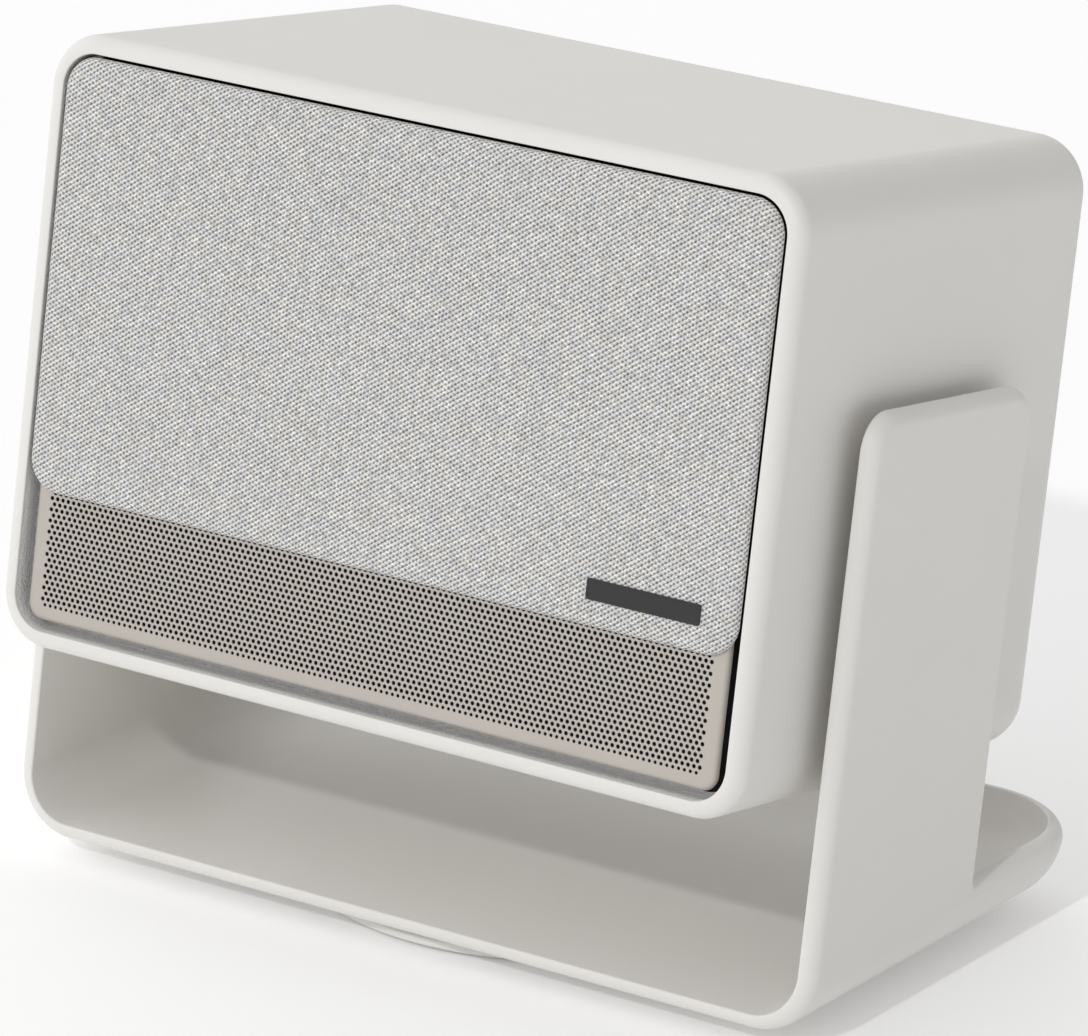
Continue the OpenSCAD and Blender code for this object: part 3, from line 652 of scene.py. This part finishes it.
def make_cloth():
    """Cloth skin over the cover: rounded all round, with the weave's relief in its mesh."""
    low, high = head_box("cover_fabric")
    half_w, half_h = (high[0] - low[0]) / 2 - CLOTH_SHORT[0], (high[2] - low[2]) / 2 - CLOTH_SHORT[1]
    centre_z = (low[2] + high[2]) / 2
    front, radius = low[1], CLOTH_CORNER
    count_x, count_z = int(2 * half_w / (WEAVE_X / 2)), int(2 * half_h / (WEAVE_Z / 2))
    x, z = np.meshgrid(np.linspace(-half_w, half_w, count_x + 1), np.linspace(-half_h, half_h, count_z + 1))
    qx, qz = np.abs(x) - (half_w - radius), np.abs(z) - (half_h - radius)
    ox, oz = np.maximum(qx, 0), np.maximum(qz, 0)
    out = np.hypot(ox, oz) + np.minimum(np.maximum(qx, qz), 0) - radius
    beyond = out > 0
    length = np.maximum(np.hypot(ox, oz), 1e-9)
    x = np.where(beyond, x - np.sign(x) * ox / length * out, x)
    z = np.where(beyond, z - np.sign(z) * oz / length * out, z)
    inset = np.maximum(-out, 0)
    drop = np.where(inset < CLOTH_ROUND, 1 - np.sqrt(np.maximum(1 - (1 - inset / CLOTH_ROUND) ** 2, 0)), 0)
    u, v = x * math.pi / WEAVE_X, z * math.pi / WEAVE_Z
    relief = (0.6 * np.cos(u - v) + 0.35 * np.cos(u + v)) * CLOTH_RELIEF * np.clip(inset / 1.5, 0, 1)
    span = np.clip(1 - inset / CLOTH_ROUND, 0, 1)
    extra = CLOTH_ROUND * (np.arcsin(span) - span)
    axis_x = np.where(ox + oz > 0, ox / length, qx > qz)
    axis_z = np.where(ox + oz > 0, oz / length, qx <= qz)
    flat_x, flat_z = x + np.sign(x) * axis_x * extra, z + np.sign(z) * axis_z * extra
    y = front + 0.08 + drop * CLOTH_DEPTH - relief
    points = np.stack([x, y, z + centre_z], -1).reshape(-1, 3)
    index = np.arange(len(points)).reshape(x.shape)
    quads = np.stack([index[:-1, :-1], index[:-1, 1:], index[1:, 1:], index[1:, :-1]], -1).reshape(-1, 4)
    quads = quads[~beyond.reshape(-1)[quads].all(1)]
    mesh = bpy.data.meshes.new("cloth_grid")
    mesh.from_pydata(points.tolist(), [], quads.tolist())
    layer = mesh.uv_layers.new(name="weave")
    flat = np.stack([flat_x, flat_z], -1).reshape(-1, 2) / WEAVE_UNIT
    layer.data.foreach_set("uv", flat[quads.reshape(-1)].reshape(-1))
    bm = bmesh.new()
    bm.from_mesh(mesh)
    bpy.data.meshes.remove(mesh)
    bmesh.ops.remove_doubles(bm, verts=bm.verts, dist=1e-3)
    loose = [vert for vert in bm.verts if not vert.link_faces]
    bmesh.ops.delete(bm, geom=loose, context="VERTS")
    rim = [edge for edge in bm.edges if edge.is_boundary]
    bmesh.ops.edgeloop_fill(bm, edges=rim)
    cloth = finish_mesh("cloth_cover", bm, HEAD, 60)
    return place(cloth, "cover", "cloth", MATERIALS["cloth"], "cover_fabric")


def make_badge():
    """Plain black plate with a raised border and no mark on it."""
    low, high = head_box("badge_plate")
    half_w, half_h = (high[0] - low[0]) / 2, (high[2] - low[2]) / 2
    centre = ((low[0] + high[0]) / 2, (low[2] + high[2]) / 2)
    front, back = low[1], high[1] + 0.6
    bm = bmesh.new()
    profile = [(0, back), (0, front + 0.15), (0.15, front), (0.55, front), (0.7, front + 0.15)]
    rings = loft(bm, profile, half_w, half_h, 0.7, centre, steps=4)
    bm.faces.new(rings[-1])
    bm.faces.new(rings[0])
    badge = finish_mesh("badge", bm, HEAD)
    return place(badge, "cover", "badge_black", MATERIALS["badge_black"], "badge_plate")


# ---- yoke ----

ARM_T = 5.1
ARM_FRONT, ARM_REAR, ARM_TOP, ARM_R = -47.0, 41.0, 24.6, 11.0
BEND_R = 19.0
TRAY_R = 34.0
TRAY_EDGE = 2.0
OUTER_EDGE, INNER_EDGE = 4.4, 0.6
NOOK_R = 0.6


def make_yoke():
    """Middle surface of the yoke, one bent sheet, ending short of its edges by the outer edge radius."""
    low, high = row_box("yoke")
    half_t = ARM_T / 2
    side, back = high[0] - half_t, high[1] - half_t
    floor_z = low[2] + half_t
    bend, corner = BEND_R - half_t, TRAY_R - half_t
    bend_z = floor_z + bend
    lip_z = low[2] + BEND_R + TRAY_EDGE - OUTER_EDGE
    pivot_y, pivot_z = PIVOT.y / MM, PIVOT.z / MM
    lean = math.atan2(head_up.y, head_up.z)
    points, normals, faces, known = [], [], [], {}

    def to_row(y, z):
        return (pivot_y + y * math.cos(lean) + z * math.sin(lean),
                pivot_z - y * math.sin(lean) + z * math.cos(lean))

    def edge_y(y_head, z):
        """Where the leaning line y = y_head in the head's frame crosses the height z."""
        return pivot_y + y_head / math.cos(lean) + (z - pivot_z) * math.tan(lean)

    def on_wall(x, y, z, inward):
        """Vertex on the upright wall or on the bend below it, pulled inwards as the bend turns."""
        a = math.asin(min(max((bend_z - z) / bend, 0), 1))
        pull = bend * (1 - math.cos(a))
        p = (x + inward[0] * pull, y + inward[1] * pull, z)
        key = tuple(round(float(np.float32(c)), 3) for c in p)
        if key not in known:
            known[key] = len(points)
            points.append(Vector(p))
            normals.append(Vector((-inward[0] * math.cos(a), -inward[1] * math.cos(a), -math.sin(a))))
        return known[key]

    front_edge, rear_edge, top_edge = ARM_FRONT + OUTER_EDGE, ARM_REAR - OUTER_EDGE, ARM_TOP - OUTER_EDGE
    nook = NOOK_R + OUTER_EDGE
    nook_z = lip_z + nook
    nook_y = edge_y(rear_edge + nook, nook_z)
    straight_y = back - corner
    path = [(-side, None, (1, 0)), (-side, nook_y, (1, 0)), (-side, straight_y, (1, 0))]
    for i in range(1, 17):
        a = math.pi - math.pi / 2 * i / 16
        path.append((-side + corner + corner * math.cos(a), straight_y + corner * math.sin(a),
                     (-math.cos(a), -math.sin(a))))
    path += [(-x, y, (-n[0], n[1])) for x, y, n in reversed(path)]
    start = math.asin((bend_z - lip_z) / bend)
    heights = [bend_z - bend * math.sin(start + (math.pi / 2 - start) * i / 12) for i in range(13)]
    columns = []
    for x, y, n in path:
        columns.append([on_wall(x, edge_y(front_edge, z) if y is None else y, z, n) for z in heights])
    for a, b in zip(columns, columns[1:]):
        for i in range(12):
            faces.append((a[i], b[i], b[i + 1], a[i + 1]))
    faces.append(tuple(column[-1] for column in columns))
    # the arms, from the height of the tray's edge up
    radius = ARM_R - OUTER_EDGE
    outline = [(edge_y(front_edge, lip_z), lip_z)]
    outline += arc((nook_y, nook_z), nook, 270, 180 - math.degrees(lean), 8)
    outline += [to_row(*p) for p in arc((rear_edge - radius, top_edge - radius), radius, 0, 90, 8)]
    outline += [to_row(*p) for p in arc((front_edge + radius, top_edge - radius), radius, 90, 180, 8)]
    count = len(outline)
    flat_points = [Vector(p) for p in outline]
    edges = [(i, (i + 1) % count) for i in range(count)]
    for z in (lip_z + (bend_z - lip_z) / 2, bend_z):
        flat_points += [Vector((-200, z)), Vector((200, z))]
        edges.append((len(flat_points) - 2, len(flat_points) - 1))
    flat, _, pieces, _, _, _ = geometry.delaunay_2d_cdt(flat_points, edges, [], 0, 1e-5)
    centres = [(sum(flat[i][0] for i in f) / len(f), sum(flat[i][1] for i in f) / len(f)) for f in pieces]
    kept = inside(centres, outline)
    for sign in (-1, 1):
        for piece, keep in zip(pieces, kept):
            if keep:
                faces.append(tuple(on_wall(sign * side, flat[i][0], flat[i][1], (-sign, 0)) for i in piece))
    return points, normals, faces, half_t


def thicken(points, normals, faces, half_t):
    """A closed solid round a middle surface, with a large outer edge radius and a fine inner one."""
    middle = bmesh.new()
    verts = [middle.verts.new(p) for p in points]
    made = [middle.faces.new([verts[i] for i in f]) for f in faces]
    index = {v: i for i, v in enumerate(verts)}
    bmesh.ops.recalc_face_normals(middle, faces=made)
    if sum(f.normal.dot(normals[index[f.verts[0]]]) for f in made) < 0:
        bmesh.ops.reverse_faces(middle, faces=made)
    section = [(half_t - OUTER_EDGE + OUTER_EDGE * math.cos(a), OUTER_EDGE * math.sin(a))
               for a in [math.pi / 2 * i / 9 for i in range(1, 10)]]
    section += [(-half_t + INNER_EDGE * (1 - math.sin(a)), OUTER_EDGE - INNER_EDGE * (1 - math.cos(a)))
                for a in [math.pi / 2 * i / 4 for i in range(5)]]
    bm = bmesh.new()
    outer = [bm.verts.new(p + n * half_t) for p, n in zip(points, normals)]
    inner = [bm.verts.new(p - n * half_t) for p, n in zip(points, normals)]
    for face in made:
        ids = [index[v] for v in face.verts]
        bm.faces.new([outer[i] for i in ids])
        bm.faces.new([inner[i] for i in reversed(ids)])
    following = {}
    for edge in middle.edges:
        if edge.is_boundary:
            loop = edge.link_loops[0]
            following[index[loop.vert]] = index[loop.link_loop_next.vert]
    begin = next(iter(following))
    ring, at = [begin], following[begin]
    while at != begin:
        ring.append(at)
        at = following[at]
    rows, count = [], len(ring)
    for k, i in enumerate(ring):
        before, after = points[ring[k - 1]], points[ring[(k + 1) % count]]
        along = (points[i] - before).normalized() + (after - points[i]).normalized()
        away = along.normalized().cross(normals[i]).normalized()
        row = [bm.verts.new(points[i] + n * normals[i] + out * away) for n, out in section]
        rows.append([outer[i]] + row + [inner[i]])
    for a, b in zip(rows, rows[1:] + rows[:1]):
        for j in range(len(a) - 1):
            bm.faces.new((a[j], a[j + 1], b[j + 1], b[j]))
    middle.free()
    return bm


def build_yoke():
    bm = thicken(*make_yoke())
    yoke = weigh_normals(finish_mesh("yoke_body", bm, ROW))
    return place(yoke, "stand", "shell_white", MATERIALS["shell_white"], "yoke")


def make_foot():
    """Round foot with a softened upper and lower edge."""
    low, high = row_box("foot_disc")
    radius, bottom, top = high[0], low[2], high[2]
    profile = [(10.0, bottom), (radius - 1.2, bottom)]
    profile += arc((radius - 0.9, bottom + 0.9), 0.9, -90, 0, 5)
    profile += arc((radius - 0.9, top - 0.9), 0.9, 0, 90, 5)
    profile += [(10.0, top)]
    bm = bmesh.new()
    lathe(bm, profile, 128, closed=True)
    foot = weigh_normals(finish_mesh("foot_plate", bm, ROW))
    return place(foot, "foot", "shell_white", MATERIALS["shell_white"], "foot_disc")


make_shell()
make_rear_cover()
make_bezel()
make_front_panel()
make_grille()
make_cloth()
make_badge()
build_yoke()
make_foot()

# ---- camera, floor and light ----


CAMERA_LENS = 250.84
CAMERA_AZIMUTH, CAMERA_ELEVATION, CAMERA_ROLL = 33.178, 18.481, 1.805
CAMERA_DISTANCE = 2.169
CAMERA_TARGET = (0.0075, -0.0208, 0.1178)


def make_camera():
    """Long lens from the front right and above, angles in degrees."""
    camera = bpy.data.objects.new("camera", bpy.data.cameras.new("camera"))
    bpy.context.scene.collection.objects.link(camera)
    camera.data.lens = CAMERA_LENS
    camera.data.sensor_width = 36
    azimuth, elevation = math.radians(CAMERA_AZIMUTH), math.radians(CAMERA_ELEVATION)
    back = Vector((math.sin(azimuth) * math.cos(elevation), -math.cos(azimuth) * math.cos(elevation),
                   math.sin(elevation)))
    camera.rotation_mode = "QUATERNION"
    turn = Matrix.Rotation(math.radians(CAMERA_ROLL), 3, back).to_quaternion()
    camera.rotation_quaternion = turn @ (-back).to_track_quat("-Z", "Y")
    camera.location = Vector(CAMERA_TARGET) + back * CAMERA_DISTANCE
    bpy.context.scene.camera = camera


FLOOR_GLOW = 0.16


def make_floor():
    """Plain pale floor, with a little light of its own so that it reads as white."""
    bm = bmesh.new()
    bmesh.ops.create_grid(bm, x_segments=8, y_segments=8, size=30000)
    floor = finish_mesh("floor", bm, ROW)
    n = Nodes("pale_floor")
    n.colour(n.mix(n.noise(900, 2), (0.90, 0.90, 0.90), (0.93, 0.93, 0.93)))
    n.shader.inputs["Roughness"].default_value = 0.8
    n.shader.inputs["Emission Color"].default_value = (1, 1, 1, 1)
    n.shader.inputs["Emission Strength"].default_value = FLOOR_GLOW
    floor.data.materials.append(n.material)


KEY, KEY_FROM, KEY_ANGLE = 0.8, (0.10, -0.82, 0.57), 2.0
SKY_EVEN = 0.3
SKY_LOBES = [((0, 0, 1), 0.3), ((-1, 0, 0), 1.0), ((0, -1, 0), 0.15)]


def sun_light(name, toward, angle, strength):
    lamp = bpy.data.lights.new(name, "SUN")
    lamp.angle = math.radians(angle)
    lamp.energy = strength
    light = bpy.data.objects.new(name, lamp)
    light.rotation_mode = "QUATERNION"
    light.rotation_quaternion = (-Vector(toward)).to_track_quat("-Z", "Y")
    bpy.context.scene.collection.objects.link(light)


def make_sky():
    """Soft studio surround: an even part and broad lobes from above, the left and the front."""
    world = bpy.data.worlds.new("studio")
    bpy.context.scene.world = world
    world.use_nodes = True
    tree = world.node_tree
    background = tree.nodes["Background"]
    coords = tree.nodes.new("ShaderNodeTexCoord")
    strength = None
    for direction, share in SKY_LOBES:
        dot = tree.nodes.new("ShaderNodeVectorMath")
        dot.operation = "DOT_PRODUCT"
        dot.inputs[1].default_value = direction
        tree.links.new(coords.outputs["Generated"], dot.inputs[0])
        lobe = tree.nodes.new("ShaderNodeMath")
        lobe.operation = "MAXIMUM"
        lobe.inputs[1].default_value = 0.0
        tree.links.new(dot.outputs["Value"], lobe.inputs[0])
        total = tree.nodes.new("ShaderNodeMath")
        total.operation = "MULTIPLY_ADD"
        total.inputs[1].default_value = share
        total.inputs[2].default_value = SKY_EVEN
        tree.links.new(lobe.outputs[0], total.inputs[0])
        if strength is not None:
            tree.links.new(strength, total.inputs[2])
        strength = total.outputs[0]
    tree.links.new(strength, background.inputs["Strength"])
    background.inputs["Color"].default_value = (1, 1, 1, 1)


make_camera()
make_floor()
make_sky()
sun_light("key", KEY_FROM, KEY_ANGLE, KEY)
bpy.context.scene.view_settings.view_transform = "Standard"
